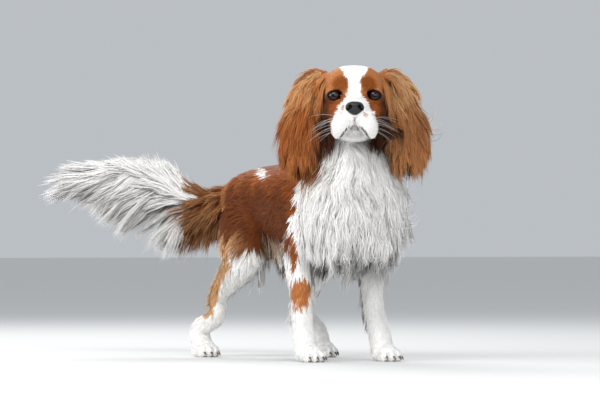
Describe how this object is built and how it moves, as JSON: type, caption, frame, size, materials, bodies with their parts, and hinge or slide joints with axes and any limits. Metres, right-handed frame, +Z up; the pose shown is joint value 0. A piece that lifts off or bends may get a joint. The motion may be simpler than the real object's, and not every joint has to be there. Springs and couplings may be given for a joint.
{
  "type": "cavalier king charles spaniel",
  "caption": "Life-size still model of a standing long-coated spaniel with feathered ears, chest, legs and plumed tail, head turned to its right.",
  "frame": {"origin": "on the floor, under the middle of the bounding box", "axes": "+Z up; the body runs along Y with the chest towards -Y and the tail towards +Y; +X is the dog's left"},
  "size_m": [0.3844, 0.675, 0.46],
  "materials": {
    "coat_chestnut": "long silky chestnut hair",
    "coat_white": "long silky white hair",
    "coat_face": "short smooth hair, chestnut with a white blaze and muzzle",
    "nose_leather": "moist black, finely pebbled",
    "eye": "glossy dark brown"
  },
  "bodies": {
    "root": {"head": "coat_face", "ear_left": "coat_chestnut", "ear_right": "coat_chestnut", "eye_left": "eye", "eye_right": "eye", "nose": "nose_leather", "neck": "coat_white", "chest": "coat_white", "torso": "coat_chestnut", "tail": "coat_white", "foreleg_left": "coat_white", "foreleg_right": "coat_white", "hindleg_left": "coat_white", "hindleg_right": "coat_white"}
  },
  "joints": []
}
